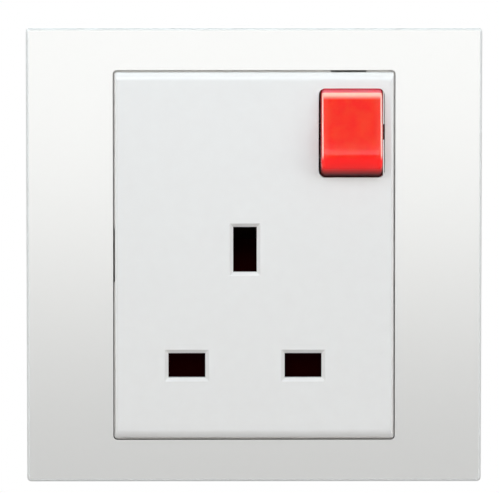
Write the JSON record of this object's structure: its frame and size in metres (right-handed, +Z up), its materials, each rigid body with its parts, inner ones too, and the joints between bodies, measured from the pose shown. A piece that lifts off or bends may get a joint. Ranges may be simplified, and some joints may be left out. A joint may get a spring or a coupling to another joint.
{
  "type": "switched wall socket",
  "caption": "Square wall socket with a shuttered pin outlet and a red rocker switch; its front frame pulls off and its rear tub holds clips, terminals and the switch contact.",
  "frame": {"origin": "centre of the plate on the wall's surface, midway between the fixing holes", "axes": "+Z up, +X to the right as seen from the room, +Y into the wall"},
  "size_m": [0.087, 0.0365, 0.087],
  "materials": {
    "frame_white": "pearly satin",
    "insert_white": "gloss",
    "tub_white": "moulded matt",
    "shutter_black": "moulded matt",
    "rocker_red": "gloss, clear red",
    "plunger_nylon": "natural nylon",
    "brass": "pressed",
    "silver": "silver contact",
    "spring_steel": "drawn wire",
    "screw_steel": "zinc plated",
    "lamp_glass": "clear",
    "resistor_body": "dipped lacquer",
    "lead_wire": "tinned"
  },
  "bodies": {
    "socket": {"socket_plate": "insert_white", "base_moulding": "tub_white", "contact_cover": "tub_white", "shutter_spring": "spring_steel", "fixed_contact_rivet": "silver", "live_busbar": "brass", "neutral_busbar": "brass", "earth_busbar": "brass", "housing_screws": "screw_steel", "neon_lamp": "lamp_glass", "neon_resistor": "resistor_body", "neon_leads": "lead_wire", "live_terminal": "brass", "neutral_terminal": "brass", "earth_terminal": "brass"},
    "surround": {"surround_frame": "frame_white"},
    "shutter": {"shutter": "shutter_black"},
    "rocker": {"rocker": "rocker_red", "plunger_spring": "spring_steel"},
    "plunger": {"rocker_plunger": "plunger_nylon"},
    "moving_contact": {"rocking_contact": "brass", "moving_contact_rivet": "silver"},
    "live_screw": {"live_terminal_screw": "screw_steel"},
    "neutral_screw": {"neutral_terminal_screw": "screw_steel"},
    "earth_screw": {"earth_terminal_screw": "screw_steel"}
  },
  "joints": [
    {"name": "rocker_tilt", "type": "hinge", "parent": "socket", "child": "rocker", "pos_m": [0.0186, -0.00665, 0.0235], "axis": [1, 0, 0], "range_deg": [0, 28]},
    {"name": "contact_rock", "type": "hinge", "parent": "socket", "child": "moving_contact", "pos_m": [0.0186, 0.0044, 0.0235], "axis": [1, 0, 0], "range_deg": [-20, 0]},
    {"name": "plunger_slide", "type": "slide", "parent": "rocker", "child": "plunger", "axis": [0, 0.9703, -0.2419], "range_m": [-0.001, 0], "stiffness_N_per_m": 300, "springref_m": 0.002, "deforming": ["plunger_spring"]},
    {"name": "shutter_slide", "type": "slide", "parent": "socket", "child": "shutter", "axis": [0, 0, -1], "range_m": [0, 0.0055], "stiffness_N_per_m": 150, "springref_m": -0.004, "deforming": ["shutter_spring"]},
    {"name": "surround_pull", "type": "slide", "parent": "socket", "child": "surround", "axis": [0, -1, 0], "range_m": [0, 0.015]},
    {"name": "live_screw_travel", "type": "slide", "parent": "socket", "child": "live_screw", "axis": [0, -1, 0], "range_m": [0, 0.0044]},
    {"name": "neutral_screw_travel", "type": "slide", "parent": "socket", "child": "neutral_screw", "axis": [0, -1, 0], "range_m": [0, 0.0044]},
    {"name": "earth_screw_travel", "type": "slide", "parent": "socket", "child": "earth_screw", "axis": [0, -1, 0], "range_m": [0, 0.0044]}
  ],
  "couplings": [
    {"joint": "contact_rock", "follows": "rocker_tilt", "ratio": -0.71429}
  ]
}
